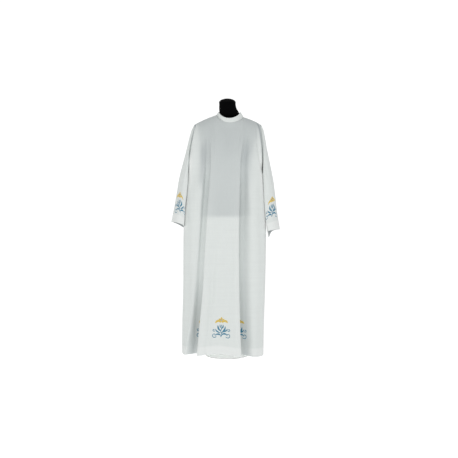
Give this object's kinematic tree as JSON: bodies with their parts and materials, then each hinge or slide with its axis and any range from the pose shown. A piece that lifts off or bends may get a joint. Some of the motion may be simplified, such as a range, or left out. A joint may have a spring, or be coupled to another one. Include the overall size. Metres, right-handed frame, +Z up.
{
  "type": "alb robe on a limbless dress form",
  "caption": "Long white robe with a stand collar, wide hanging sleeves and deep folds, worn by a black limbless dress form on a pole and base plate",
  "frame": {"origin": "middle of the underside of the base plate, on the surface that the dress form stands on", "axes": "+Z up, -Y is the front of the robe, +X is to the right of someone who faces it"},
  "size_m": [0.674, 0.37, 1.598],
  "materials": {
    "robe_cloth": "woven polyester, matte with a faint sheen",
    "collar_cloth": "two layers of the same cloth, topstitched",
    "button": "satin",
    "form_cover": "black jersey",
    "form_cap": "satin black",
    "stand_steel": "brushed",
    "base_paint": "pale powder coat"
  },
  "bodies": {
    "root": {"front_panel": "robe_cloth", "back_left_panel": "robe_cloth", "back_right_panel": "robe_cloth", "sleeve_left": "robe_cloth", "sleeve_right": "robe_cloth", "collar_band": "collar_cloth", "collar_button": "button", "form_torso": "form_cover", "form_neck_cap": "form_cap", "form_socket": "stand_steel", "form_pole": "stand_steel", "form_base": "base_paint"}
  },
  "joints": []
}
